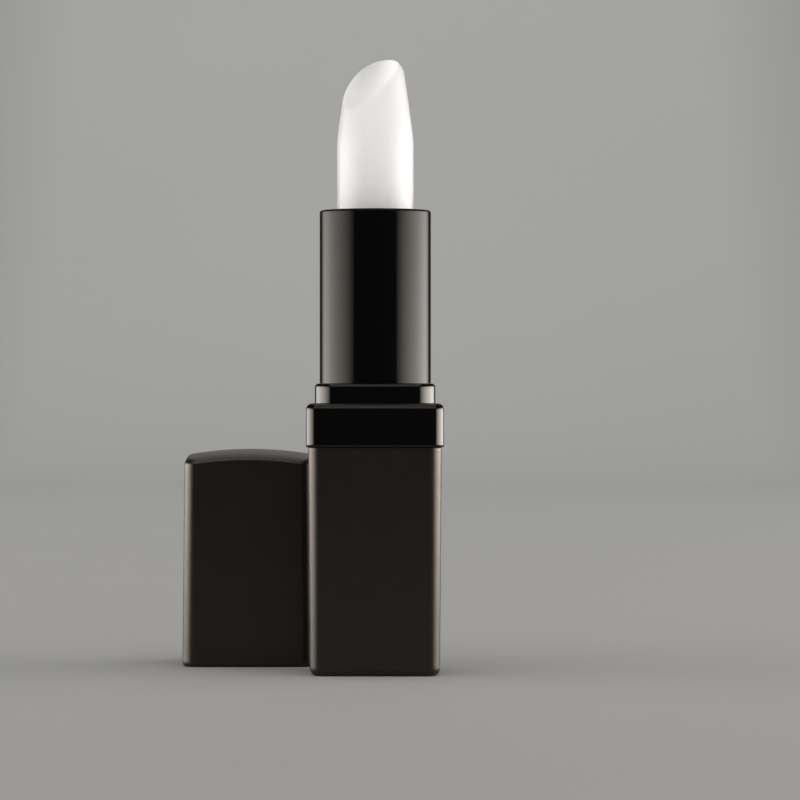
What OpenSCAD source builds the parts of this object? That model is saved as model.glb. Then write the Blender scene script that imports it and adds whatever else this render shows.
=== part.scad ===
// Square twist-up lipstick case, open, with its cap standing beside it.
// Millimetres. +Z is up, the origin is the middle of the foot, on the axis of the tube.
// The bullet is wound up. The tube turns in the neck, and its two helical grooves drive
// the cup's lugs up and down the slots of the inner sleeve, which stands still in the base.

/* [Bullet] */
// Diameter of the wax bullet
bullet_d = 12.1; // [10:0.1:15]
// How far the bullet stands out of the tube when it is wound up
bullet_out = 24.2; // [16:0.1:30]
// How far the tip sinks below the tube's rim when it is wound down
bullet_sunk = 1.2; // [0.5:0.1:4]
// Angle of the slanted face, from the horizontal
slant_angle = 46; // [30:1:60]
// Direction that the slanted face looks to, turned from the front towards the left
slant_turn = 45; // [0:1:90]
// How far the slanted face passes below the tip, on the axis
slant_drop = 2.3; // [0:0.1:4]
// Height of the tapered nose
nose_h = 12.9; // [8:0.1:14]
// Diameter of the nose where its rounded end starts
nose_d = 9.3; // [7:0.1:10]
// Radius of the nose's rounded end
nose_round = 3; // [1.5:0.1:3.5]

/* [Lift mechanism] */
// Turns of the tube from wound down to wound up
lift_turns = 2; // [1:0.25:3]
// Height of the cup that holds the bullet
cup_h = 9; // [7:0.5:12]
// Wall of the cup
cup_wall = 0.6; // [0.5:0.05:1]
// Thickness of the cup's floor
cup_floor = 1; // [0.6:0.1:1.5]
// Diameter of the cup's two lugs
lug_d = 1.5; // [1:0.1:2]
// Wall of the slotted inner sleeve
sleeve_wall = 0.6; // [0.5:0.05:1]
// Wall of the grooved spiral
spiral_wall = 0.85; // [0.7:0.05:1.2]
// Depth of the helical grooves
groove_depth = 0.5; // [0.4:0.05:0.6]
// How deep the sleeve's foot sits in the base liner
foot_depth = 8; // [5:0.5:10]
// Thickness of the brake ring
brake_ring_d = 0.9; // [0.7:0.05:1.2]

/* [Tube and neck] */
// Wall of the tube
tube_wall = 0.45; // [0.4:0.05:0.8]
// Height of the tube that shows above the neck
tube_h = 27.3; // [20:0.1:34]
// Height of the neck's step, which the cap slides over
step_h = 3.1; // [2:0.1:5]
// Wall of the neck at its thinnest, in the middle of each side
neck_wall = 0.55; // [0.5:0.05:1.5]
// Corner radius of the neck
neck_corner = 3.9; // [2.5:0.1:4.5]
// How deep the neck goes into the base
neck_depth = 6; // [4:0.5:10]

/* [Collar band] */
// Height of the band
band_h = 6.9; // [4:0.1:10]
// How far the band stands proud of the base
band_proud = 0.35; // [0.2:0.05:0.8]
// Corner radius of the band
band_corner = 2; // [1.5:0.1:3]

/* [Base] */
// Height of the base
base_h = 35.6; // [28:0.1:46]
// Wall of the base at its top
base_wall = 0.9; // [0.7:0.05:1.5]
// How much each side of the base leans in from top to foot
base_draft = 0.25; // [0:0.05:0.3]
// Corner radius of the base and the cap
shell_corner = 2; // [1.4:0.1:3]
// Radius along the edges of the foot
foot_round = 1.2; // [0.5:0.1:1.4]
// Thickness of the base's floor
base_floor = 1.6; // [1.2:0.1:2.5]
// Height of the steel weight
weight_h = 6; // [3:0.5:8]
// Width of the blank shade label
label_w = 13; // [8:0.5:14]

/* [Cap] */
// Wall of the cap at its mouth
cap_wall = 1.15; // [0.9:0.05:1.6]
// How much each side of the cap leans in from mouth to top
cap_draft = 0.3; // [0:0.05:0.4]
// Thickness of the roof where it is thinnest, over the corners of the hollow
cap_roof = 0.7; // [0.4:0.05:1.2]
// Radius of the domed top
dome_r = 58; // [40:1:120]
// Radius along the edge of the domed top
dome_round = 1.1; // [0.5:0.1:1.2]
// Radius along the outer edge of the mouth
mouth_round = 0.7; // [0.2:0.1:0.8]
// Room between the tube's rim and the cap liner's top
cap_head = 1.3; // [0.4:0.1:2]
// Thickness of the cap liner's top
cap_liner_top = 0.6; // [0.4:0.1:1]
// Thickness of the steel plate in the cap
cap_weight_h = 0.8; // [0.4:0.1:1.5]
// How far the standing cap tucks in behind the base, seen from the front
cap_tuck = 0.6; // [0:0.1:2]
// How far the standing cap is behind the collar band
cap_behind = 0.5; // [0.4:0.1:5]

/* [Clearances] */
// Between parts that slide in each other
slide_gap = 0.15; // [0.1:0.01:0.3]
// Between parts that turn in each other
turn_gap = 0.1; // [0.05:0.01:0.2]
// Between parts that are pressed or glued together
fit_gap = 0.05; // [0.02:0.01:0.1]
// Between the cap and what it slides over
cap_gap = 0.1; // [0.05:0.01:0.2]

/* [Hidden] */
$fn = 96;
hull_fn = 32;
skin = 0.01;      // thickness of the slices that a hull starts or ends with
over = 1;         // how far a cut runs past the face that it opens

// Radii of the nested tubes, from the bullet outwards
bullet_r = bullet_d / 2;
cup_r = bullet_r + cup_wall;
sleeve_ri = cup_r + slide_gap;
sleeve_ro = sleeve_ri + sleeve_wall;
spiral_ri = sleeve_ro + turn_gap;
spiral_ro = spiral_ri + spiral_wall;
groove_r = spiral_ri + groove_depth;
tube_ri = spiral_ro;
tube_ro = tube_ri + tube_wall;
neck_ri = tube_ro + turn_gap;

// Widths of the square parts, from the neck outwards
neck_w = 2 * (neck_ri + neck_wall);
base_hollow_w = neck_w + 2 * fit_gap;
base_w = base_hollow_w + 2 * base_wall;
foot_w = base_w - 2 * base_draft;
band_w = base_w + 2 * band_proud;
cap_hollow_w = neck_w + 2 * cap_gap;
cap_w = cap_hollow_w + 2 * cap_wall;
cap_top_w = cap_w - 2 * cap_draft;
hollow_corner = neck_corner + fit_gap;

// Heights of the case
band_z = base_h;
step_z = band_z + band_h;
neck_top = step_z + step_h;
rim_z = neck_top + tube_h;
tip_z = rim_z + bullet_out;

// The lift, from the rim downwards
travel = bullet_out + bullet_sunk;
lead = travel / lift_turns;
lip_t = 0.5;                       // the tube's rolled lip, which hides the edges below it
flange_t = 0.8;                    // the sleeve's top bead, which holds the spiral down
flange_grip = 0.45;
cup_drop = 0.3;                    // the cup's rim below the tube's rim, when wound up
lug_up = 2.2;                      // the lugs' height above the cup's foot
groove_end = 2;                    // spiral left past each end of the grooves
sleeve_top = rim_z - lip_t - turn_gap;
spiral_top = sleeve_top - flange_t - turn_gap;
cup_z = rim_z - cup_drop - cup_h;
lug_z = cup_z + lug_up;
lug_low_z = lug_z - travel;
groove_h = lug_d + 2 * 0.25;
spiral_z = lug_low_z - groove_h / 2 - groove_end;
collar_t = brake_ring_d + 1.4;     // the sleeve's lower collar, which carries the brake ring
collar_z = spiral_z - turn_gap - collar_t;
collar_r = tube_ri - turn_gap;
ring_z = collar_z + collar_t / 2;
ring_gap = 0.02;
tube_z = collar_z - 0.5;
neck_bottom = min(base_h - neck_depth, tube_z - 0.5);
foot_z = neck_bottom - foot_depth;
sleeve_floor_t = 0.8;
sleeve_floor_z = lug_low_z - lug_up - 0.5 - sleeve_floor_t;
slot_w = lug_d + 2 * slide_gap;
key_w = 1.4;
key_t = 0.7;
keys = 4;

// Base interior
liner_w = base_hollow_w - 2 * fit_gap;
liner_floor_t = 1.2;
liner_skirt = 1.2;
weight_z = base_floor;
weight_top = weight_z + weight_h;
label_t = 0.2;
label_corner = 2;

// Cap, in its own frame: its mouth at z = 0
cap_liner_z = step_h + cap_gap;
cap_liner_w = cap_hollow_w - 2 * fit_gap;
cap_liner_h = tube_h - cap_gap + cap_head + cap_liner_top;
cap_bore_r = tube_ro + slide_gap;
cap_weight_z = cap_liner_z + cap_liner_h;
ceiling_z = cap_weight_z + cap_weight_h;
hollow_reach = (cap_hollow_w / 2 - hollow_corner) * sqrt(2) + hollow_corner;
cap_h = ceiling_z + cap_roof + dome_sag(hollow_reach);
grip_ribs = 6;
grip_rib_w = 0.8;
grip_rib_t = 0.1;
grip_rib_h = 10;

// Where the cap stands: to the left, behind the case
cap_x = -(base_w + cap_w) / 2 + cap_tuck;
cap_y = (band_w + cap_w) / 2 + cap_behind;

satin = [0.16, 0.145, 0.13];
gloss = [0.05, 0.05, 0.05];

// How far the dome has dropped at this distance from its middle
function dome_sag(distance) = dome_r - sqrt(dome_r * dome_r - distance * distance);

// A square with round corners, centred, made of true arcs
module round_square(w, r) {
    square([w, w - 2 * r], center = true);
    square([w - 2 * r, w], center = true);
    for (x = [-1, 1], y = [-1, 1])
        translate([x * (w / 2 - r), y * (w / 2 - r)]) circle(r);
}

// A straight post with round corners, standing at height z
module square_post(w, r, z, h) {
    translate([0, 0, z]) linear_extrude(h) round_square(w, r);
}

// The four rounded corners of an edge that runs round a square of width w: corner is the
// radius in plan and edge is the radius of the edge itself, centred at height z
module edge_corners(w, corner, edge, z) {
    for (x = [-1, 1], y = [-1, 1])
        translate([x * (w / 2 - corner), y * (w / 2 - corner), z])
            rotate_extrude($fn = hull_fn) intersection() {
                translate([corner - edge, 0]) circle(edge, $fn = hull_fn);
                translate([0, -edge]) square([corner, 2 * edge]);
            }
}

// A thin slice of a rounded square, for a hull to start or end with
module slice(w, corner, z) {
    translate([0, 0, z]) linear_extrude(skin) round_square(w, corner, $fn = hull_fn);
}

module ring(outer_r, inner_r, z, h) {
    translate([0, 0, z]) difference() {
        cylinder(r = outer_r, h = h);
        translate([0, 0, -over]) cylinder(r = inner_r, h = h + 2 * over);
    }
}

// Ribs or keys that stand at radius r, from height z, spaced evenly round the axis
module radial_blocks(count, first, r, t, w, z, h) {
    for (i = [0 : count - 1])
        rotate([0, 0, first + i * 360 / count])
            translate([r, -w / 2, z]) cube([t, w, h]);
}

// ---- Base ----

module base_shell() {
    color(satin) difference() {
        hull() {
            edge_corners(foot_w, shell_corner, foot_round, foot_round);
            slice(base_w, shell_corner, base_h - skin);
        }
        square_post(base_hollow_w, hollow_corner, base_floor, base_h);
        square_post(label_w + 2 * fit_gap, label_corner + fit_gap, -over, over + label_t);
    }
}

module shade_label() {
    color("whitesmoke") square_post(label_w, label_corner, 0, label_t);
}

module base_weight() {
    color("slategray")
        square_post(base_hollow_w - 2 * slide_gap, neck_corner, weight_z, weight_h);
}

// A square plug with a round socket for the sleeve's foot. Its skirt stands on the weight
module base_liner() {
    socket_r = sleeve_ro + fit_gap;
    pocket_r = 1.3;
    pocket_at = (liner_w / 2 - neck_corner) + (neck_corner - pocket_r - 0.8) / sqrt(2);
    color("gainsboro") difference() {
        square_post(liner_w, neck_corner, weight_top, neck_bottom - weight_top);
        square_post(liner_w - 2 * liner_skirt, neck_corner - liner_skirt, weight_top - over,
                    foot_z - liner_floor_t - weight_top + over);
        translate([0, 0, foot_z]) cylinder(r = socket_r, h = foot_depth + over);
        radial_blocks(keys, 0, socket_r - over, key_t + over, key_w + 2 * fit_gap, foot_z,
                      foot_depth + over);
        for (x = [-1, 1], y = [-1, 1])
            translate([x * pocket_at, y * pocket_at, foot_z + foot_depth / 2])
                cylinder(r = pocket_r, h = foot_depth);
    }
}

// ---- Neck and collar band ----

module neck() {
    step_round = 0.6;
    color(gloss) difference() {
        hull() {
            edge_corners(neck_w, neck_corner, step_round, neck_top - step_round);
            slice(neck_w, neck_corner, neck_bottom);
        }
        translate([0, 0, neck_bottom - over])
            cylinder(r = neck_ri, h = neck_top - neck_bottom + 2 * over);
    }
}

module collar_band() {
    shoulder_round = 1;
    heel_round = 0.3;
    color(gloss) difference() {
        hull() {
            edge_corners(band_w, band_corner, shoulder_round, step_z - shoulder_round);
            edge_corners(band_w, band_corner, heel_round, band_z + heel_round);
        }
        square_post(base_hollow_w, hollow_corner, band_z - over, band_h + 2 * over);
    }
}

// ---- Lift mechanism ----

// A slotted sleeve: a top bead that the spiral snaps under, a lower collar with the brake
// ring's groove, a floor that the cup comes down to, and a keyed foot
module inner_sleeve() {
    color("ivory") difference() {
        union() {
            translate([0, 0, foot_z]) cylinder(r = sleeve_ro, h = sleeve_top - foot_z);
            translate([0, 0, sleeve_top - flange_t]) cylinder(r = spiral_ri + flange_grip, h = flange_t);
            translate([0, 0, collar_z]) cylinder(r = collar_r, h = collar_t);
            radial_blocks(keys, 0, sleeve_ri + sleeve_wall / 2, sleeve_wall / 2 + key_t - fit_gap,
                          key_w, foot_z, foot_depth * 0.75);
        }
        translate([0, 0, sleeve_floor_z + sleeve_floor_t]) cylinder(r = sleeve_ri, h = sleeve_top);
        translate([0, 0, foot_z - over])
            cylinder(r = sleeve_ri, h = sleeve_floor_z - foot_z + over);
        ring(collar_r + over, sleeve_ro, ring_z - brake_ring_d / 2 - fit_gap,
             brake_ring_d + 2 * fit_gap);
        for (side = [0, 180])
            rotate([0, 0, side])
                translate([0, -slot_w / 2, lug_low_z - lug_d / 2 - slide_gap])
                    cube([spiral_ri, slot_w, travel + lug_d + 2 * slide_gap]);
    }
}

module brake_ring() {
    color("dimgray") translate([0, 0, ring_z])
        rotate_extrude() translate([tube_ri - ring_gap - brake_ring_d / 2, 0])
            circle(brake_ring_d / 2, $fn = 48);
}

// One helical groove, as a closed ribbon swept round the axis. Its middle passes the lug
// at angle start when the cup is at its highest
module helix_groove(start) {
    turn_step = 12;
    inner_r = spiral_ri - 0.4;
    run = travel + groove_h;
    steps = ceil(run / lead * 360 / turn_step);
    first_z = lug_low_z - groove_h / 2;
    function angle_at(z) = start + (z - lug_z) * 360 / lead;
    points = [
        for (i = [0 : steps])
            let (z = first_z + run * i / steps, a = angle_at(z))
                for (p = [[inner_r, -1], [groove_r, -1], [groove_r, 1], [inner_r, 1]])
                    [p[0] * cos(a), p[0] * sin(a), z + p[1] * groove_h / 2]
    ];
    sides = [
        for (i = [0 : steps - 1], j = [0 : 3])
            let (a = 4 * i + j, b = 4 * i + (j + 1) % 4)
                each [[a, b, b + 4], [a, b + 4, a + 4]]
    ];
    ends = [[0, 3, 2], [0, 2, 1], [4 * steps, 4 * steps + 1, 4 * steps + 2],
            [4 * steps, 4 * steps + 2, 4 * steps + 3]];
    polyhedron(points, concat(ends, [for (f = sides) [f[0], f[2], f[1]]]));
}

module spiral() {
    color("lightsteelblue") difference() {
        ring(spiral_ro, spiral_ri, spiral_z, spiral_top - spiral_z);
        for (start = [0, 180]) helix_groove(start);
    }
}

// The round tube: its top is rolled in to a lip that hides the edges of the mechanism
module tube_shell() {
    roll = 0.35;
    color(gloss) rotate_extrude() difference() {
        union() {
            translate([sleeve_ri, tube_z]) square([tube_ro - sleeve_ri, rim_z - roll - tube_z]);
            translate([sleeve_ri, tube_z]) square([tube_ro - roll - sleeve_ri, rim_z - tube_z]);
            translate([tube_ro - roll, rim_z - roll]) circle(roll, $fn = 48);
        }
        translate([0, tube_z - over]) square([tube_ri, rim_z - lip_t - tube_z + over]);
    }
}

// The cup that carries the bullet: two lugs outside, and four ribs inside that grip the wax
cup_ribs = 4;
cup_rib_w = 0.6;
cup_rib_t = 0.7;
cup_rib_h = cup_h * 0.55;

module cup_rib_set() {
    radial_blocks(cup_ribs, 45, bullet_r - cup_rib_t, cup_rib_t + cup_wall / 2, cup_rib_w,
                  cup_z + cup_floor, cup_rib_h);
}

module cup() {
    lug_out = groove_r - slide_gap;
    color("gold") union() {
        difference() {
            translate([0, 0, cup_z]) cylinder(r = cup_r, h = cup_h);
            translate([0, 0, cup_z + cup_floor]) cylinder(r = bullet_r, h = cup_h);
        }
        cup_rib_set();
        for (side = [0, 180])
            rotate([0, 0, side])
                translate([bullet_r + cup_wall / 2, 0, lug_z])
                    rotate([0, 90, 0]) cylinder(d = lug_d, h = lug_out - bullet_r - cup_wall / 2,
                                                $fn = 32);
    }
}

// A round stick with a tapered, rounded nose, cut off by the slanted face
module bullet() {
    bottom_z = cup_z + cup_floor;
    nose_z = tip_z - nose_h;
    round_z = tip_z - nose_round;
    round_r = nose_d / 2 - nose_round;
    color("white") difference() {
        rotate_extrude() union() {
            polygon([[0, bottom_z], [bullet_r, bottom_z], [bullet_r, nose_z],
                     [nose_d / 2, round_z], [0, round_z]]);
            translate([0, round_z - skin]) square([round_r, nose_round + skin]);
            translate([round_r, round_z]) intersection() {
                circle(nose_round);
                translate([0, -skin]) square([nose_round, nose_round + skin]);
            }
        }
        translate([0, 0, tip_z - slant_drop])
            rotate([0, 0, -slant_turn]) rotate([slant_angle, 0, 0])
                translate([-20, -20, 0]) cube([40, 40, 20]);
        cup_rib_set();
    }
}

// ---- Cap ----

module in_cap_place() {
    translate([cap_x, cap_y, 0]) children();
}

module cap_shell() {
    dome_fn = 240;
    edge_z = cap_h - dome_sag(cap_top_w / 2) - dome_round;
    corner_z = cap_h - dome_sag((cap_top_w / 2 - shell_corner) * sqrt(2) + shell_corner)
               - dome_round;
    crown_w = cap_top_w - 2 * dome_round;
    color(satin) in_cap_place() difference() {
        hull() {
            edge_corners(cap_w, shell_corner, mouth_round, mouth_round);
            edge_corners(cap_top_w, shell_corner, dome_round, corner_z);
            for (a = [0 : 90 : 270])
                rotate([0, 0, a]) translate([0, cap_top_w / 2 - dome_round, edge_z])
                    sphere(dome_round, $fn = hull_fn);
            intersection() {
                translate([0, 0, cap_h - dome_r]) sphere(dome_r, $fn = dome_fn);
                square_post(crown_w, shell_corner - dome_round / 2, corner_z, cap_h);
            }
        }
        square_post(cap_hollow_w, hollow_corner, -over, ceiling_z + over);
    }
}

module cap_weight() {
    color("slategray") in_cap_place()
        square_post(cap_hollow_w - 2 * slide_gap, neck_corner, cap_weight_z, cap_weight_h);
}

// Square outside to fill the cap, with a round bore for the tube and ribs that grip it
module cap_liner() {
    color("dimgray") in_cap_place() union() {
        difference() {
            square_post(cap_liner_w, neck_corner, cap_liner_z, cap_liner_h);
            translate([0, 0, cap_liner_z - over])
                cylinder(r = cap_bore_r, h = cap_liner_h - cap_liner_top + over);
        }
        radial_blocks(grip_ribs, 15, cap_bore_r - grip_rib_t, grip_rib_t + neck_wall / 2,
                      grip_rib_w, cap_liner_z + 1, grip_rib_h);
    }
}

base_shell();
shade_label();
base_weight();
base_liner();
neck();
collar_band();
inner_sleeve();
brake_ring();
spiral();
tube_shell();
cup();
bullet();
cap_shell();
cap_weight();
cap_liner();
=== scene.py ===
import math

import bpy
from bpy.props import FloatProperty, FloatVectorProperty, IntProperty, PointerProperty
from bpy.types import Operator, Panel, PropertyGroup
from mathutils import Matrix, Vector


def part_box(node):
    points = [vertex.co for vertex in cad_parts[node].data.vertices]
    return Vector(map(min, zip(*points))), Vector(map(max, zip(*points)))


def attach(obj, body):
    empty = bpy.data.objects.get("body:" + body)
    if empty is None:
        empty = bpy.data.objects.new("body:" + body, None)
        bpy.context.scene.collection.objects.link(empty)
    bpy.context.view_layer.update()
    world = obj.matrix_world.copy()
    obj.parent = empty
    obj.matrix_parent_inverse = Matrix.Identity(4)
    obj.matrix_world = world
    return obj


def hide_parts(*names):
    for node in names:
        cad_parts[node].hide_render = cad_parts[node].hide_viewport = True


bl_info = {
    "name": "Twist-up lipstick case",
    "version": (1, 0, 0),
    "blender": (4, 5, 0),
    "location": "3D View > Sidebar > Lipstick case",
    "description": "Dresses the packed parts of a square twist-up lipstick case",
    "category": "Object",
}

MM = 0.001
FINISH = "_finish"      # ends the name of each finish, so that it isn't the slot's own

# Edges turning more than this show as sharp, in degrees; the wax's edges are softer
SHARP = 50
SOFT_SHARP = 60
HALVINGS = 40           # steps in the search for where the bullet's slant cuts its outline

# A flat's first points stand this far from the round corner, so that it stays flat
CORNER_HOLD = 0.18 * MM

# The softboxes: place, what each looks at, width and height, in metres
CASE_AIM = Vector((0.0, 0.0, 0.05))
SIDE_AIM = Vector((0.0, 0.14, 0.05))
WALL_AIM = Vector((0.0, 2.0, 0.4))
SOFTBOXES = {
    "left": (Vector((-0.72, 0.17, 0.13)), SIDE_AIM, 1.87, 0.29),
    "right": (Vector((0.72, 0.17, 0.13)), SIDE_AIM, 1.87, 0.29),
    "front_top": (Vector((0.0, -0.66, 0.73)), CASE_AIM, 1.6, 0.8),
    "top": (Vector((0.0, 0.16, 0.98)), CASE_AIM, 0.8, 0.6),
    "wall": (Vector((0.0, 0.9, 1.3)), WALL_AIM, 2.4, 0.5),
}
FADE_POWER = 2.1        # how soon a side softbox dims towards its ends
CUT_END = 0.11          # share of the fade that is cut off at its front end
LOW_EDGE = 1.7          # its brightness along the lower edge
HIGH_EDGE = 0.3         # and along the upper edge

# The floor: its ends, half its width, and the bend and height of the wall, in metres
FLOOR_FRONT = -1.6
FLOOR_BACK = 1.3
FLOOR_SIDE = 2.2
WALL_BEND = 0.7
WALL_TOP = 2.4
FLOOR_BAYS = 12
BEND_STEPS = 24
# Painted shade: the floor's colour is darkened to either side and towards the front, so the far
# floor and the wall look like a dark studio
PAINTED_SHADE_SIDE = (0.20, 0.55)     # from where to where it darkens, to either side
PAINTED_SHADE_FRONT = (-0.25, -0.60)  # and towards the front
PAINTED_SHADE_LEVEL = 0.12            # the share of its colour that is left there

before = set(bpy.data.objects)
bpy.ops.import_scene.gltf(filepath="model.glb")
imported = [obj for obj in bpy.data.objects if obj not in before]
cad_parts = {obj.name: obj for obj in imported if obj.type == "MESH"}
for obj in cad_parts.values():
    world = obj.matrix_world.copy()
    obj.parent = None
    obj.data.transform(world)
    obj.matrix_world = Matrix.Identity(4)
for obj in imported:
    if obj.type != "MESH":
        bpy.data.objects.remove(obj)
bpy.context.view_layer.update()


class Span:
    """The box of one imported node, with the handy measures of an upright part."""

    def __init__(self, node):
        self.low, self.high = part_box(node)
        self.middle = (self.low + self.high) / 2
        self.width = self.high.x - self.low.x
        self.radius = self.width / 2
        self.bottom = self.low.z
        self.top = self.high.z


BASE = Span("base_shell")
BAND = Span("collar_band")
NECK = Span("neck")
TUBE = Span("tube_shell")
BULLET = Span("bullet")
LABEL = Span("shade_label")
WEIGHT = Span("base_weight")
CAP = Span("cap_shell")
CAP_PLATE = Span("cap_weight")
CAP_LINER = Span("cap_liner")


# ---------------------------------------------------------------- settings

def length(name, description, default, low=0.0, high=1.0):
    """A length setting, kept in metres."""
    return FloatProperty(name=name, description=description, default=default,
                         min=low, max=high, precision=5, unit="LENGTH")


def share(name, description, default):
    """A setting between nought and one."""
    return FloatProperty(name=name, description=description, default=default,
                         min=0.0, max=1.0, subtype="FACTOR")


def tint(name, description, default):
    """A colour setting, in linear light."""
    return FloatVectorProperty(name=name, description=description, default=default,
                               size=3, min=0.0, max=1.0, subtype="COLOR")


class CaseShapes(PropertyGroup):
    """Sizes of the visible pieces that their boxes don't give."""

    shell_corner: length("Shell corner", "Corner radius of the base and the cap", 2.0 * MM)
    band_corner: length("Band corner", "Corner radius of the collar band", 2.0 * MM)
    neck_corner: length("Neck corner", "Corner radius of the neck's step", 3.9 * MM)
    base_draft: length("Base draft", "How far each side of the base leans in", 0.25 * MM)
    cap_draft: length("Cap draft", "How far each side of the cap leans in", 0.30 * MM)
    foot_round: length("Foot edge", "Radius along the edges of the foot", 1.2 * MM)
    mouth_round: length("Mouth edge", "Radius along the cap's mouth", 0.7 * MM)
    dome_round: length("Dome edge", "Radius along the edge of the cap's dome", 1.1 * MM)
    dome_radius: length("Dome radius", "Radius of the cap's domed top", 58.0 * MM)
    shoulder_round: length("Band shoulder", "Radius along the band's upper edge", 1.0 * MM)
    heel_round: length("Band heel", "Radius along the band's lower edge", 0.3 * MM)
    step_round: length("Step edge", "Radius along the neck's upper edge", 0.6 * MM)
    rim_roll: length("Tube rim", "Radius of the tube's rolled rim", 0.35 * MM)
    lip_thickness: length("Tube lip", "Thickness of the tube's inward lip", 0.5 * MM)
    lip_radius: length("Lip radius", "Radius of the hole in the tube's lip", 6.8 * MM)
    tube_bore: length("Tube bore", "Inner radius of the tube", 8.35 * MM)
    neck_bore: length("Neck bore", "Radius of the neck's bore", 8.9 * MM)
    base_hollow: length("Base hollow", "Width of the hollow in the base", 19.0 * MM)
    cap_hollow: length("Cap hollow", "Width of the hollow in the cap", 19.1 * MM)
    parting: length("Parting edge", "Small radius where two pieces meet", 0.12 * MM)
    nose_height: length("Nose height", "Height of the bullet's tapered nose", 12.9 * MM)
    nose_radius: length("Nose radius", "Radius where the rounded end starts", 4.65 * MM)
    nose_round: length("Nose rounding", "Radius of the nose's rounded end", 3.0 * MM)
    slant_drop: length("Slant drop", "Slanted face below the tip, on the axis", 2.3 * MM)
    slant_edge: length("Slant edge", "Softness of the slanted face's edge", 0.75 * MM)
    slant_angle: FloatProperty(name="Slant angle", default=math.radians(46), unit="ROTATION",
                               description="Angle of the slanted face from the horizontal")
    slant_turn: FloatProperty(name="Slant turn", default=math.radians(45), unit="ROTATION",
                              description="Turn of the slanted face from front to left")
    arc_steps: IntProperty(name="Arc steps", default=16, min=4, max=32,
                           description="Steps in each rounded corner")
    turn_steps: IntProperty(name="Turn steps", default=160, min=24, max=256,
                            description="Steps round each round piece")


class CaseFinishes(PropertyGroup):
    """Colours and shine of the finishes."""

    soft_touch: tint("Soft touch", "Satin lacquer of base and cap", (0.0012, 0.0008, 0.0005))
    soft_touch_rough: share("Soft touch roughness", "Blur of the satin lacquer", 0.32)
    gloss: tint("Gloss black", "Polished black of band, neck and tube", (0.0030, 0.0030, 0.0029))
    gloss_rough: share("Gloss roughness", "Blur of the polished black", 0.075)
    collar_density: FloatProperty(name="Collar gloss", default=1.385, min=1.0, max=2.0,
                                  description="Refractive index of the band's and neck's gloss")
    tube_density: FloatProperty(name="Tube gloss", default=1.21, min=1.0, max=2.0,
                                description="Refractive index of the tube's gloss")
    wax: tint("Wax", "The bullet", (0.66, 0.70, 0.765))
    wax_rough: share("Wax roughness", "Blur of the wax", 0.33)
    acetal: tint("Natural acetal", "Sleeve and spiral", (0.68, 0.66, 0.58))
    black_plastic: tint("Black plastic", "Cup and liners", (0.012, 0.012, 0.013))
    steel: tint("Zinc-plated steel", "Weights", (0.50, 0.51, 0.53))
    silicone: tint("Silicone", "Brake ring", (0.02, 0.02, 0.022))
    paper: tint("Label paper", "Blank shade label", (0.80, 0.79, 0.77))
    floor: tint("Floor", "Pale studio floor", (0.43, 0.43, 0.427))


class CaseStage(PropertyGroup):
    """Camera and lights."""

    camera_side: length("Camera side", "Camera to the right of the axis", 3.9 * MM, -10, 10)
    camera_back: length("Camera distance", "Camera in front of the axis", 0.62, 0, 10)
    camera_height: length("Camera height", "Camera above the floor", 43.0 * MM, 0, 10)
    lens: FloatProperty(name="Lens", description="Focal length in millimetres",
                        default=176.6, min=10, max=400)
    left_light: FloatProperty(name="Left softbox", description="Brightness on the left",
                              default=7.0, min=0)
    right_light: FloatProperty(name="Right softbox", description="Brightness on the right",
                               default=9.9, min=0)
    front_light: FloatProperty(name="Front softbox", description="Brightness high in front",
                               default=1.15, min=0)
    top_light: FloatProperty(name="Top softbox", description="Brightness from above",
                             default=1.3, min=0)
    wall_light: FloatProperty(name="Wall light", description="Brightness of the wall's lamp",
                              default=4.8, min=0)
    side_tint: tint("Side tint", "Colour of the side softboxes", (1.0, 0.955, 0.905))
    room_light: FloatProperty(name="Room", description="Brightness of the dim room",
                              default=0.02, min=0)


# ---------------------------------------------------------------- shader helper

class Wire:
    """A shader socket that adds its own Math nodes when it is used in sums."""

    def __init__(self, sheet, socket):
        self.sheet = sheet
        self.socket = socket

    def math(self, operation, *values, clamp=False):
        sockets = {i: value for i, value in enumerate(values)}
        return self.sheet.node("ShaderNodeMath", {"operation": operation, "use_clamp": clamp},
                               sockets)

    def __add__(self, other):
        return self.math("ADD", self, other)

    def __radd__(self, other):
        return self.math("ADD", other, self)

    def __mul__(self, other):
        return self.math("MULTIPLY", self, other)

    def __rmul__(self, other):
        return self.math("MULTIPLY", other, self)

    def __pow__(self, other):
        return self.math("POWER", self, other)

    def clamped(self):
        return self.math("ADD", self, 0.0, clamp=True)

    def ramp(self, low, high, start=0.0, end=1.0):
        """Goes from start to end while this value goes from low to high."""
        return self.sheet.node("ShaderNodeMapRange", {"clamp": True},
                               {"Value": self, "From Min": low, "From Max": high,
                                "To Min": start, "To Max": end})


class TreeBuilder:
    """Adds nodes to a node tree, each by one call."""

    def __init__(self, tree):
        self.tree = tree

    def node(self, kind, settings, values, output=0):
        made = self.tree.nodes.new(kind)
        for setting, value in settings.items():
            setattr(made, setting, value)
        for socket, value in values.items():
            self.feed(made.inputs[socket], value)
        return Wire(self, made.outputs[output])

    def feed(self, socket, value):
        if isinstance(value, Wire):
            self.tree.links.new(value.socket, socket)
        else:
            socket.default_value = value


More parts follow.
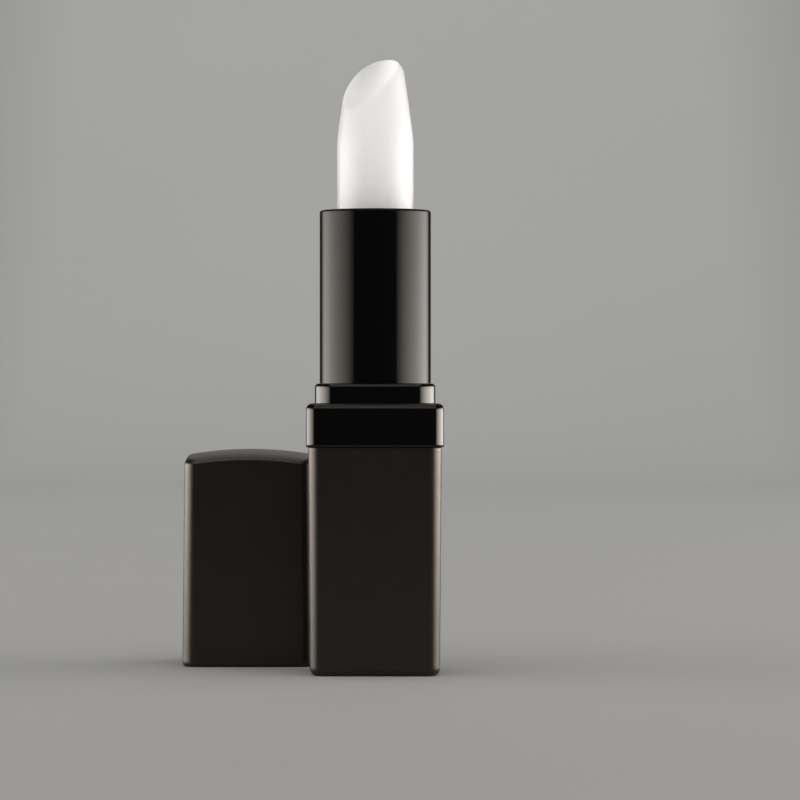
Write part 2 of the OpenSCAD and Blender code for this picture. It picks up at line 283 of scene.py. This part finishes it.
class Finish(TreeBuilder):
    """A material made of nodes, built on one Principled shader."""

    def __init__(self, name, **fixed):
        self.material = bpy.data.materials.new(name + FINISH)
        self.material.use_nodes = True
        super().__init__(self.material.node_tree)
        self.shader = self.tree.nodes["Principled BSDF"]
        for socket, value in fixed.items():
            self.shader.inputs[socket.replace("_", " ")].default_value = value
        self.place = self.node("ShaderNodeTexCoord", {}, {}, "Object")

    def drive(self, socket, value):
        self.feed(self.shader.inputs[socket], value)

    def stretched(self, x, y, z):
        """The object's own place, scaled along each axis."""
        return self.node("ShaderNodeVectorMath", {"operation": "MULTIPLY"},
                         {0: self.place, 1: (x, y, z)})

    def noise(self, scale, detail=2.0, rough=0.5, place=None):
        return self.node("ShaderNodeTexNoise", {},
                         {"Vector": place or self.place, "Scale": scale, "Detail": detail,
                          "Roughness": rough}, "Fac")

    def cells(self, scale):
        return self.node("ShaderNodeTexVoronoi", {"feature": "F1"},
                         {"Vector": self.place, "Scale": scale}, "Distance")

    def mix(self, factor, first, second):
        return self.node("ShaderNodeMix", {"data_type": "RGBA"},
                         {0: factor, 6: (*first, 1.0) if isinstance(first, tuple) else first,
                          7: (*second, 1.0) if isinstance(second, tuple) else second}, 2)

    def bump(self, height, distance, strength=1.0, under=None):
        values = {"Height": height, "Distance": distance, "Strength": strength}
        if under is not None:
            values["Normal"] = under
        return self.node("ShaderNodeBump", {}, values, "Normal")


def finish_of(slot):
    """The finish made for a slot."""
    return bpy.data.materials[slot + FINISH]


def scaled(colour, factor):
    """The same colour, lighter or darker."""
    return tuple(min(1.0, channel * factor) for channel in colour)


# ---------------------------------------------------------------- finishes

def soft_touch_finish(finishes):
    """Satin soft-touch lacquer: nearly black brown, with a very fine orange peel."""
    made = Finish("soft_touch_black", IOR=1.6, Specular_Tint=(1.0, 0.9, 0.8, 1.0))
    colour = tuple(finishes.soft_touch)
    cloud = made.noise(95.0, 3.0, 0.55)
    handled = made.noise(260.0, 4.0, 0.6)
    grain = made.noise(9000.0, 2.0, 0.5)
    speck = made.cells(5200.0)
    made.drive("Base Color", made.mix(cloud.ramp(0.35, 0.65), scaled(colour, 0.86),
                                      scaled(colour, 1.14)))
    rough = finishes.soft_touch_rough
    made.drive("Roughness", rough - 0.03 + 0.06 * handled + 0.02 * grain)
    fine = made.bump(grain, 0.012 * MM, 0.5)
    made.drive("Normal", made.bump(speck, 0.010 * MM, 0.35, fine))
    return made.material


def gloss_finish(finishes, name, density):
    """Polished black plastic: clear reflections, a slow ripple and faint hairlines."""
    made = Finish(name, IOR=density, Specular_Tint=(1.0, 0.96, 0.90, 1.0))
    colour = tuple(finishes.gloss)
    cloud = made.noise(140.0, 2.0)
    smear = made.noise(420.0, 4.0, 0.6, made.stretched(1.0, 1.0, 0.35))
    hair = made.noise(1500.0, 2.0, 0.5, made.stretched(1.0, 1.0, 0.05))
    made.drive("Base Color", made.mix(cloud, scaled(colour, 0.8), scaled(colour, 1.2)))
    lines = hair.ramp(0.66, 0.72)
    made.drive("Roughness", finishes.gloss_rough + 0.03 * smear + 0.02 * lines)
    ripple = made.noise(320.0, 1.0, 0.4)
    made.drive("Normal", made.bump(ripple, 0.006 * MM, 0.6))
    return made.material


def wax_finish(finishes):
    """White lipstick wax: soft inside, smooth from the mould, with faint flow marks."""
    made = Finish("wax", IOR=1.44, Subsurface_Weight=1.0, Subsurface_Scale=100 * MM,
                  Subsurface_Radius=(1.0, 1.0, 1.0))
    colour = tuple(finishes.wax)
    cloud = made.noise(210.0, 4.0, 0.55)
    flow = made.noise(900.0, 3.0, 0.55, made.stretched(1.0, 1.0, 0.10))
    grain = made.noise(5200.0, 3.0, 0.6)
    mottled = made.mix(cloud.ramp(0.3, 0.7), scaled(colour, 0.975), scaled(colour, 1.01))
    made.drive("Base Color", mottled)
    made.drive("Roughness", finishes.wax_rough - 0.05 + 0.08 * cloud + 0.06 * flow)
    streaks = made.bump(flow, 0.016 * MM, 0.5)
    made.drive("Normal", made.bump(grain, 0.006 * MM, 0.4, streaks))
    return made.material


def moulded_finish(name, colour, rough):
    """Plain moulded plastic with a fine spark-eroded grain."""
    made = Finish(name, IOR=1.49)
    colour = tuple(colour)
    cloud = made.noise(180.0, 3.0)
    grain = made.noise(6500.0, 2.0, 0.55)
    made.drive("Base Color", made.mix(cloud, scaled(colour, 0.9), scaled(colour, 1.08)))
    made.drive("Roughness", rough - 0.04 + 0.08 * cloud)
    made.drive("Normal", made.bump(grain, 0.010 * MM, 0.6))
    return made.material


def steel_finish(finishes):
    """Rolled steel plate with a dull zinc coat."""
    made = Finish("steel", Metallic=1.0)
    colour = tuple(finishes.steel)
    rolled = made.noise(2600.0, 3.0, 0.6, made.stretched(1.0, 0.04, 1.0))
    spangle = made.cells(900.0)
    made.drive("Base Color", made.mix(spangle.ramp(0.0, 0.9), scaled(colour, 0.88),
                                      scaled(colour, 1.08)))
    made.drive("Roughness", 0.32 + 0.18 * rolled)
    made.drive("Normal", made.bump(rolled, 0.008 * MM, 0.6))
    return made.material


def rubber_finish(finishes):
    """Smooth black silicone with a light bloom."""
    made = Finish("rubber", IOR=1.42)
    colour = tuple(finishes.silicone)
    bloom = made.noise(700.0, 4.0, 0.6)
    made.drive("Base Color", made.mix(bloom, scaled(colour, 0.8), scaled(colour, 1.6)))
    made.drive("Roughness", 0.45 + 0.15 * bloom)
    made.drive("Normal", made.bump(bloom, 0.006 * MM, 0.5))
    return made.material


def paper_finish(finishes):
    """Blank label paper with a faint fibre."""
    made = Finish("label", IOR=1.45)
    colour = tuple(finishes.paper)
    fibre = made.noise(3200.0, 5.0, 0.65, made.stretched(1.0, 0.35, 1.0))
    made.drive("Base Color", made.mix(fibre, scaled(colour, 0.95), scaled(colour, 1.03)))
    made.drive("Roughness", 0.55 + 0.1 * fibre)
    made.drive("Normal", made.bump(fibre, 0.010 * MM, 0.6))
    return made.material


# ---------------------------------------------------------------- mesh helpers

def arc(start, end, steps):
    """Evenly spaced angles from start to end, both included, in radians."""
    return [math.radians(start + (end - start) * i / steps) for i in range(steps + 1)]


def square_ring(width, corner, steps):
    """Points and outward directions round a square with round corners. Each flat's first
    and last points are close to its corners, so that it stays flat under smooth shading."""
    half = width / 2
    reach = half - corner
    points = []
    for quarter in range(4):
        turn = math.pi / 2 * quarter
        c, s = math.cos(turn), math.sin(turn)

        def add(x, y, nx, ny):
            points.append((Vector((x * c - y * s, x * s + y * c)),
                           Vector((nx * c - ny * s, nx * s + ny * c))))

        for y in (-reach + CORNER_HOLD, -reach * 0.6, -reach * 0.2, reach * 0.2, reach * 0.6,
                  reach - CORNER_HOLD):
            add(half, y, 1.0, 0.0)
        for a in arc(0, 90, steps):
            add(reach + corner * math.cos(a), reach + corner * math.sin(a),
                math.cos(a), math.sin(a))
    return points


def circle_like(ring, radius):
    """A circle with a point for each point of a square ring, at the same bearing."""
    points = []
    for point, _ in ring:
        outward = point.normalized()
        points.append((outward * radius, outward))
    return points


def turned_ring(radius, steps):
    """Points and outward directions round a circle."""
    points = []
    for i in range(steps):
        a = 2 * math.pi * i / steps
        outward = Vector((math.cos(a), math.sin(a)))
        points.append((outward * radius, outward))
    return points


def raised(ring, z, inset=0.0, centre=(0.0, 0.0)):
    """The ring's points at height z, moved inwards by inset."""
    return [(p.x - n.x * inset + centre[0], p.y - n.y * inset + centre[1], z)
            for p, n in ring]


def loft(name, rings, start="open", end="open", loop=False):
    """A mesh through rings of equally many points. A closed start or end gets a centre
    point, and a loop joins the last ring to the first."""
    count = len(rings[0])
    verts = [point for ring in rings for point in ring]
    faces = []
    pairs = len(rings) if loop else len(rings) - 1
    for r in range(pairs):
        a, b = r * count, (r + 1) % len(rings) * count
        for i in range(count):
            j = (i + 1) % count
            faces.append((a + i, a + j, b + j, b + i))
    for kind, ring, first in ((start, rings[0], 0), (end, rings[-1], (len(rings) - 1) * count)):
        if kind != "closed":
            continue
        middle = sum((Vector(p) for p in ring), Vector()) / count
        verts.append(tuple(middle))
        for i in range(count):
            j = (i + 1) % count
            face = (first + j, first + i, len(verts) - 1)
            faces.append(face if first == 0 else face[::-1])
    mesh = bpy.data.meshes.new(name)
    mesh.from_pydata(verts, [], faces)
    mesh.validate()
    mesh.update()
    mesh.shade_smooth()
    return mesh


def sharpen(mesh, degrees):
    """Marks edges sharper than the angle, so that shading breaks there."""
    mesh.set_sharp_from_angle(angle=math.radians(degrees))


def show(name, mesh, material, body, node):
    """Puts a made piece in the scene, on its body, in place of its CAD node."""
    piece = bpy.data.objects.new(name, mesh)
    bpy.context.scene.collection.objects.link(piece)
    piece.data.materials.append(material)
    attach(piece, body)
    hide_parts(node)
    return piece


def dress(node, material):
    """Gives a CAD node its finish."""
    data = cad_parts[node].data
    data.materials.clear()
    data.materials.append(material)


def profile_rings(ring, outline):
    """Rings of one plan at each (inset, height) of an outline."""
    return [raised(ring, z, inset) for inset, z in outline]


# ---------------------------------------------------------------- pieces

class LIPSTICK_OT_base(Operator):
    """Make the base shell: satin outside, round at the foot, with a thin edge at the top"""

    bl_idname = "lipstick.base"
    bl_label = "Base shell"

    def execute(self, context):
        shapes = context.scene.case_shapes
        rounding, draft, edge = shapes.foot_round, shapes.base_draft, shapes.parting
        plan = square_ring(BASE.width, shapes.shell_corner, shapes.arc_steps)
        label = LABEL.width / 2 + 0.05 * MM
        inset_label = BASE.width / 2 - label
        side = draft / (BASE.top - rounding)
        outline = []
        for depth in (0.95, 0.6, 0.3, 0.03, 0.0):
            outline.append((inset_label + label * depth, LABEL.top))
        outline += [(inset_label, LABEL.top), (inset_label, LABEL.top * 0.5), (inset_label, 0.0)]
        outline += [(inset_label - 0.3 * MM, 0.0), (draft + rounding + 0.3 * MM, 0.0)]
        for a in arc(0, 90, 10):
            outline.append((draft + rounding * (1 - math.sin(a)), rounding * (1 - math.cos(a))))
        for z in (0.25 * MM, 4 * MM, 10 * MM, 18 * MM, 26 * MM):
            outline.append((draft - side * z, rounding + z))
        outline.append((side * 0.5 * MM, BASE.top - 0.5 * MM))
        for a in arc(0, 90, 4):
            outline.append((edge * (1 - math.cos(a)), BASE.top - edge * (1 - math.sin(a))))
        rings = profile_rings(plan, outline)
        hollow = square_ring(shapes.base_hollow, shapes.neck_corner, shapes.arc_steps)
        rings.append(raised(hollow, BASE.top))
        rings.append(raised(hollow, BASE.top - 0.3 * MM))
        rings.append(raised(hollow, WEIGHT.bottom))
        mesh = loft("base_shell_made", rings, "closed", "closed")
        sharpen(mesh, SHARP)
        show("base_shell_made", mesh, finish_of("soft_touch_black"), "base",
             "base_shell")
        return {"FINISHED"}


class LIPSTICK_OT_collar(Operator):
    """Make the glossy collar band and the neck whose step shows above it"""

    bl_idname = "lipstick.collar"
    bl_label = "Collar band and neck"

    def execute(self, context):
        shapes = context.scene.case_shapes
        gloss = finish_of("gloss_black")
        self.band(shapes, gloss)
        self.neck(shapes, gloss)
        return {"FINISHED"}

    def band(self, shapes, gloss):
        plan = square_ring(BAND.width, shapes.band_corner, shapes.arc_steps)
        heel, shoulder = shapes.heel_round, shapes.shoulder_round
        outline = []
        for a in arc(0, 90, 6):
            outline.append((heel * (1 - math.sin(a)), BAND.bottom + heel * (1 - math.cos(a))))
        outline.append((0.0, BAND.bottom + heel + 0.2 * MM))
        outline.append((0.0, BAND.middle.z))
        outline.append((0.0, BAND.top - shoulder - 0.2 * MM))
        for a in arc(0, 90, 10):
            outline.append((shoulder * (1 - math.cos(a)), BAND.top - shoulder * (1 - math.sin(a))))
        outline.append((shoulder + 0.15 * MM, BAND.top))
        rings = profile_rings(plan, outline)
        inside = square_ring(NECK.width + 0.1 * MM, shapes.neck_corner, shapes.arc_steps)
        rings.append(raised(inside, BAND.top, -0.06 * MM))
        rings.append(raised(inside, BAND.top - 0.06 * MM))
        rings.append(raised(inside, BAND.middle.z))
        rings.append(raised(inside, BAND.bottom))
        mesh = loft("collar_band_made", rings, loop=True)
        sharpen(mesh, SHARP)
        show("collar_band_made", mesh, gloss, "base", "collar_band")

    def neck(self, shapes, gloss):
        plan = square_ring(NECK.width, shapes.neck_corner, shapes.arc_steps)
        edge, soft = shapes.step_round, shapes.parting
        outline = [(0.0, NECK.bottom), (0.0, BAND.middle.z), (0.0, NECK.top - edge - 0.2 * MM)]
        for a in arc(0, 90, 10):
            outline.append((edge * (1 - math.cos(a)), NECK.top - edge * (1 - math.sin(a))))
        rings = profile_rings(plan, outline)
        bore = shapes.neck_bore
        for grow, drop in ((soft * 1.6, 0.0), (soft, 0.0), (soft * 0.3, soft * 0.3),
                           (0.0, soft), (0.0, 1.0 * MM), (0.0, NECK.top - NECK.bottom)):
            rings.append(raised(circle_like(plan, bore + grow), NECK.top - drop))
        mesh = loft("neck_made", rings, loop=True)
        sharpen(mesh, SHARP)
        show("neck_made", mesh, gloss, "base", "neck")


class LIPSTICK_OT_tube(Operator):
    """Make the glossy round tube with its rolled rim"""

    bl_idname = "lipstick.tube"
    bl_label = "Tube"

    def execute(self, context):
        shapes = context.scene.case_shapes
        outer, roll, lip = TUBE.radius, shapes.rim_roll, shapes.lip_radius
        soft = shapes.parting
        outline = [(0.0, TUBE.bottom), (0.0, TUBE.bottom + 2 * MM)]
        for part in (0.2, 0.4, 0.6, 0.8):
            outline.append((0.0, TUBE.bottom + (TUBE.top - TUBE.bottom) * part))
        outline.append((0.0, TUBE.top - roll - 0.25 * MM))
        for a in arc(0, 90, 10):
            outline.append((roll * (1 - math.cos(a)), TUBE.top - roll * (1 - math.sin(a))))
        outline.append((roll + 0.15 * MM, TUBE.top))
        outline.append((outer - lip - soft - 0.15 * MM, TUBE.top))
        for a in arc(90, 0, 6):
            outline.append((outer - lip - soft * math.cos(a), TUBE.top - soft * (1 - math.sin(a))))
        outline.append((outer - lip, TUBE.top - shapes.lip_thickness))
        outline.append((outer - shapes.tube_bore, TUBE.top - shapes.lip_thickness))
        outline.append((outer - shapes.tube_bore, TUBE.bottom + 2 * MM))
        outline.append((outer - shapes.tube_bore, TUBE.bottom))
        rings = profile_rings(turned_ring(outer, shapes.turn_steps), outline)
        mesh = loft("tube_shell_made", rings, loop=True)
        sharpen(mesh, SHARP)
        show("tube_shell_made", mesh, finish_of("tube_black"), "tube",
             "tube_shell")
        return {"FINISHED"}


class LIPSTICK_OT_bullet(Operator):
    """Make the wax bullet: a tapered stick whose slanted face has a soft edge"""

    bl_idname = "lipstick.bullet"
    bl_label = "Wax bullet"

    def outline(self, shapes):
        """The stick's (radius, height) points from the cup's floor to the tip."""
        radius, tip = BULLET.radius, BULLET.top
        shoulder = tip - shapes.nose_height
        round_z = tip - shapes.nose_round
        knee = 1.6 * MM
        start = BULLET.bottom + 0.5 * MM
        lean = (radius - shapes.nose_radius) / (round_z - shoulder)
        points = [(radius, BULLET.bottom), (radius, start)]
        for part in (0.15, 0.3, 0.45, 0.6, 0.75, 0.9, 1.0):
            points.append((radius, start + (shoulder - knee - start) * part))
        for i in range(1, 9):
            t = i / 8
            points.append((radius - lean * knee * t * t, shoulder - knee + 2 * knee * t))
        for part in (0.12, 0.24, 0.36, 0.48, 0.6, 0.72, 0.84, 0.94):
            z = shoulder + knee + (round_z - shoulder - knee) * part
            points.append((radius - lean * (z - shoulder), z))
        middle = shapes.nose_radius - shapes.nose_round
        tilt = math.degrees(math.atan(lean))
        for a in arc(tilt, 90, 24):
            points.append((middle + shapes.nose_round * math.cos(a),
                           round_z + shapes.nose_round * math.sin(a)))
        points.append((0.0, tip))
        return points

    def walk(self, points, distance):
        """The point on the outline this far along it, from its low end."""
        for (r0, z0), (r1, z1) in zip(points, points[1:]):
            step = math.hypot(r1 - r0, z1 - z0)
            if distance <= step:
                t = distance / step if step else 0.0
                return r0 + (r1 - r0) * t, z0 + (z1 - z0) * t
            distance -= step
        return points[-1]

    def place(self, points, outward, distance):
        """The stick's point in this direction, this far along the outline."""
        r, z = self.walk(points, distance)
        return Vector((outward.x * r, outward.y * r, z))

    def reaches(self, shapes, points):
        """Each direction round the stick, with how far up the outline the slant cuts it."""
        whole = sum(math.hypot(b[0] - a[0], b[1] - a[1]) for a, b in zip(points, points[1:]))
        slope = math.tan(shapes.slant_angle)
        across = Vector((math.sin(shapes.slant_turn), math.cos(shapes.slant_turn)))
        level = BULLET.top - shapes.slant_drop
        found = []
        for outward, _ in turned_ring(1.0, shapes.turn_steps):
            low, high = 0.0, whole
            for _ in range(HALVINGS):
                middle = (low + high) / 2
                r, z = self.walk(points, middle)
                if z > level + slope * r * outward.dot(across):
                    high = middle
                else:
                    low = middle
            found.append((outward, low))
        return found

    def execute(self, context):
        shapes = context.scene.case_shapes
        points = self.outline(shapes)
        columns = self.reaches(shapes, points)
        soft = shapes.slant_edge
        edge = [self.place(points, outward, reach) for outward, reach in columns]
        centre = sum(edge, Vector()) / len(edge)
        inner = [point + (centre - point).normalized() * soft for point in edge]
        rings = []
        for part in (0.0, 0.02, 0.3, 0.5, 0.6, 0.66, 0.72, 0.78, 0.82, 0.86, 0.9, 0.94, 0.97, 1.0):
            rings.append([tuple(self.place(points, outward, (reach - soft) * part))
                          for outward, reach in columns])
        below = rings[-1]
        for i in range(1, 9):
            t = i / 9
            rings.append([tuple(Vector(start) * (1 - t) ** 2 + corner * 2 * t * (1 - t)
                                + end * t * t)
                          for start, corner, end in zip(below, edge, inner)])
        for part in (0.0, 0.06, 0.2, 0.4, 0.6, 0.8, 0.95):
            rings.append([tuple(point.lerp(centre, part)) for point in inner])
        mesh = loft("bullet_made", rings, "closed", "closed")
        sharpen(mesh, SOFT_SHARP)
        show("bullet_made", mesh, finish_of("wax"), "carrier", "bullet")
        return {"FINISHED"}


class LIPSTICK_OT_cap(Operator):
    """Make the cap shell: drafted sides, a domed top and a hollow inside"""

    bl_idname = "lipstick.cap"
    bl_label = "Cap shell"

    def execute(self, context):
        shapes = context.scene.case_shapes
        centre = (CAP.middle.x, CAP.middle.y)
        plan = square_ring(CAP.width, shapes.shell_corner, shapes.arc_steps)
        top_plan = square_ring(CAP.width - 2 * shapes.cap_draft, shapes.shell_corner,
                               shapes.arc_steps)
        mouth, edge, dome = shapes.mouth_round, shapes.dome_round, shapes.dome_radius
        rings = []
        for a in arc(0, 90, 8):
            rings.append(raised(plan, mouth * (1 - math.cos(a)), mouth * (1 - math.sin(a)),
                                centre))
        sphere = CAP.top - dome
        hubs = []
        for p, n in top_plan:
            hub = p - n * edge
            height = sphere + math.sqrt((dome - edge) ** 2 - hub.length_squared)
            lean = math.atan(hub.dot(n) / (height - sphere))
            hubs.append((hub, n, height, math.pi / 2 - lean))
        for part in (0.012, 0.1, 0.25, 0.5, 0.75, 0.9, 0.985):
            row = []
            for (low, _), (hub, n, height, _) in zip(plan, hubs):
                p = low.lerp(hub + n * edge, part)
                row.append((p.x + centre[0], p.y + centre[1], mouth + (height - mouth) * part))
            rings.append(row)
        for i in range(11):
            row = []
            for hub, n, height, last in hubs:
                a = last * i / 10
                p = hub + n * edge * math.cos(a)
                row.append((p.x + centre[0], p.y + centre[1], height + edge * math.sin(a)))
            rings.append(row)
        crown = [(p[0] - centre[0], p[1] - centre[1]) for p in rings[-1]]
        for part in (0.985, 0.92, 0.84, 0.74, 0.62, 0.48, 0.34, 0.2, 0.08):
            row = []
            for x, y in crown:
                x, y = x * part, y * part
                row.append((x + centre[0], y + centre[1],
                            sphere + math.sqrt(dome ** 2 - x * x - y * y)))
            rings.append(row)
        mesh = loft("cap_shell_made", self.inside(shapes, centre)[::-1] + rings, "closed",
                    "closed")
        sharpen(mesh, SHARP)
        show("cap_shell_made", mesh, finish_of("soft_touch_black"), "cap",
             "cap_shell")
        return {"FINISHED"}

    def inside(self, shapes, centre):
        """Rings of the hollow, from its mouth up to its ceiling."""
        hollow = square_ring(shapes.cap_hollow, shapes.neck_corner, shapes.arc_steps)
        soft = shapes.parting
        return [raised(hollow, 0.0, -soft, centre), raised(hollow, soft * 0.3, -soft * 0.3, centre),
                raised(hollow, soft, 0.0, centre), raised(hollow, CAP_LINER.bottom, 0.0, centre),
                raised(hollow, CAP_PLATE.top, 0.0, centre)]


class LIPSTICK_OT_finishes(Operator):
    """Make the finishes and give the carried-over inner pieces theirs"""

    bl_idname = "lipstick.finishes"
    bl_label = "Finishes"

    def execute(self, context):
        finishes = context.scene.case_finishes
        soft_touch_finish(finishes)
        gloss_finish(finishes, "gloss_black", finishes.collar_density)
        gloss_finish(finishes, "tube_black", finishes.tube_density)
        wax_finish(finishes)
        acetal = moulded_finish("mechanism_natural", finishes.acetal, 0.36)
        black = moulded_finish("mechanism_black", finishes.black_plastic, 0.38)
        liner = moulded_finish("liner_grey", scaled(finishes.black_plastic, 3.0), 0.5)
        steel = steel_finish(finishes)
        rubber = rubber_finish(finishes)
        paper = paper_finish(finishes)
        for node, finish in (("inner_sleeve", acetal), ("spiral", acetal), ("cup", black),
                             ("base_liner", liner), ("cap_liner", liner),
                             ("base_weight", steel), ("cap_weight", steel),
                             ("brake_ring", rubber), ("shade_label", paper)):
            dress(node, finish)
        return {"FINISHED"}


# ---------------------------------------------------------------- stage

class LIPSTICK_OT_stage(Operator):
    """Set the pale floor, the softboxes and the camera"""

    bl_idname = "lipstick.stage"
    bl_label = "Stage"

    def execute(self, context):
        stage = context.scene.case_stage
        self.floor(context)
        self.room(context, stage)
        for name, side, radiance in (("left", -1, stage.left_light),
                                     ("right", 1, stage.right_light)):
            data = self.softbox(context, name, radiance)
            data.color = stage.side_tint
            self.fade(data, side)
        self.softbox(context, "front_top", stage.front_light)
        self.softbox(context, "top", stage.top_light)
        self.softbox(context, "wall", stage.wall_light)
        context.scene.view_settings.view_transform = "Standard"
        self.camera(context, stage)
        return {"FINISHED"}

    def softbox(self, context, name, radiance):
        """Hangs one of the softboxes, unseen by the camera, and returns its light."""
        place, target, width, height = SOFTBOXES[name]
        data = bpy.data.lights.new(name, "AREA")
        data.shape = "RECTANGLE"
        data.size, data.size_y = width, height
        data.energy = radiance * width * height * math.pi
        light = bpy.data.objects.new(name, data)
        light.location = place
        light.rotation_mode = "QUATERNION"
        light.rotation_quaternion = (target - place).to_track_quat("-Z", "Y")
        light.visible_camera = False
        context.scene.collection.objects.link(light)
        return data

    def fade(self, data, side):
        """Dims a side softbox upwards and towards its ends, and cuts its front end off."""
        data.use_nodes = True
        sheet = TreeBuilder(data.node_tree)
        place = sheet.node("ShaderNodeNewGeometry", {}, {}, "Parametric")
        along = sheet.node("ShaderNodeSeparateXYZ", {}, {0: place}, "X")
        up = sheet.node("ShaderNodeSeparateXYZ", {}, {0: place}, "Y")
        along = along * (1.0 - CUT_END) + (CUT_END if side > 0 else 0.0)
        hump = along.math("SINE", along * math.pi).clamped() ** FADE_POWER
        strength = hump * up.ramp(0.0, 1.0, LOW_EDGE, HIGH_EDGE)
        sheet.feed(data.node_tree.nodes["Emission"].inputs["Strength"], strength)

    def floor(self, context):
        """One sheet: the floor, rising into a wall far behind the case. Its colour is darkened to
        the sides and towards the front as painted shade.
        """
        made = Finish("studio_floor", IOR=1.4, Roughness=0.8)
        colour = tuple(context.scene.case_finishes.floor)
        cloud = made.noise(6.0, 3.0)
        grain = made.noise(900.0, 2.0)
        x = made.node("ShaderNodeSeparateXYZ", {}, {0: made.place}, "X")
        y = made.node("ShaderNodeSeparateXYZ", {}, {0: made.place}, "Y")
        # Painted shade: this mask darkens the floor's colour to the sides and towards the front
        far = x.math("MAXIMUM", x.math("ABSOLUTE", x).ramp(*PAINTED_SHADE_SIDE), y.ramp(*PAINTED_SHADE_FRONT))
        pale = made.mix(cloud, scaled(colour, 0.985), scaled(colour, 1.015))
        made.drive("Base Color", made.mix(far, pale, scaled(colour, PAINTED_SHADE_LEVEL)))
        made.drive("Normal", made.bump(grain, 0.02 * MM, 0.3))
        outline = [(FLOOR_FRONT + (FLOOR_BACK - FLOOR_FRONT) * i / FLOOR_BAYS, 0.0)
                   for i in range(FLOOR_BAYS + 1)]
        for a in arc(0, 90, BEND_STEPS)[1:]:
            outline.append((FLOOR_BACK + WALL_BEND * math.sin(a), WALL_BEND * (1 - math.cos(a))))
        outline.append((FLOOR_BACK + WALL_BEND, WALL_TOP))
        verts, faces = [], []
        for y, z in outline:
            verts += [(-FLOOR_SIDE, y, z), (FLOOR_SIDE, y, z)]
        for i in range(len(outline) - 1):
            faces.append((2 * i, 2 * i + 1, 2 * i + 3, 2 * i + 2))
        mesh = bpy.data.meshes.new("studio_floor")
        mesh.from_pydata(verts, [], faces)
        mesh.shade_smooth()
        floor = bpy.data.objects.new("studio_floor", mesh)
        floor.data.materials.append(made.material)
        context.scene.collection.objects.link(floor)

    def room(self, context, stage):
        world = bpy.data.worlds.new("studio_room")
        world.use_nodes = True
        background = world.node_tree.nodes["Background"]
        background.inputs["Color"].default_value = (1.0, 1.0, 1.0, 1.0)
        background.inputs["Strength"].default_value = stage.room_light
        context.scene.world = world

    def camera(self, context, stage):
        data = bpy.data.cameras.new("camera")
        data.lens = stage.lens
        data.sensor_width = 36.0
        data.clip_start, data.clip_end = 0.01, 20.0
        camera = bpy.data.objects.new("camera", data)
        camera.location = (stage.camera_side, -stage.camera_back, stage.camera_height)
        camera.rotation_euler = (math.pi / 2, 0.0, 0.0)
        context.scene.collection.objects.link(camera)
        context.scene.camera = camera


class LIPSTICK_PT_panel(Panel):
    """Lists the steps that make the lipstick case"""

    bl_idname = "LIPSTICK_PT_panel"
    bl_label = "Lipstick case"
    bl_space_type = "VIEW_3D"
    bl_region_type = "UI"
    bl_category = "Lipstick case"

    def draw(self, context):
        for step in STEPS:
            self.layout.operator(step.bl_idname, text=step.bl_label)
        for group in (context.scene.case_shapes, context.scene.case_finishes,
                      context.scene.case_stage):
            box = self.layout.box()
            for name in group.__annotations__:
                box.prop(group, name)


GROUPS = {"case_shapes": CaseShapes, "case_finishes": CaseFinishes, "case_stage": CaseStage}
STEPS = (LIPSTICK_OT_finishes, LIPSTICK_OT_base, LIPSTICK_OT_collar, LIPSTICK_OT_tube,
         LIPSTICK_OT_bullet, LIPSTICK_OT_cap, LIPSTICK_OT_stage)


def register():
    for name, group in GROUPS.items():
        bpy.utils.register_class(group)
        setattr(bpy.types.Scene, name, PointerProperty(type=group))
    for step in STEPS:
        bpy.utils.register_class(step)
    bpy.utils.register_class(LIPSTICK_PT_panel)


def unregister():
    bpy.utils.unregister_class(LIPSTICK_PT_panel)
    for step in reversed(STEPS):
        bpy.utils.unregister_class(step)
    for name, group in GROUPS.items():
        delattr(bpy.types.Scene, name)
        bpy.utils.unregister_class(group)


def main():
    register()
    bpy.ops.lipstick.finishes()
    bpy.ops.lipstick.base()
    bpy.ops.lipstick.collar()
    bpy.ops.lipstick.tube()
    bpy.ops.lipstick.bullet()
    bpy.ops.lipstick.cap()
    bpy.ops.lipstick.stage()


if __name__ == "__main__":
    main()
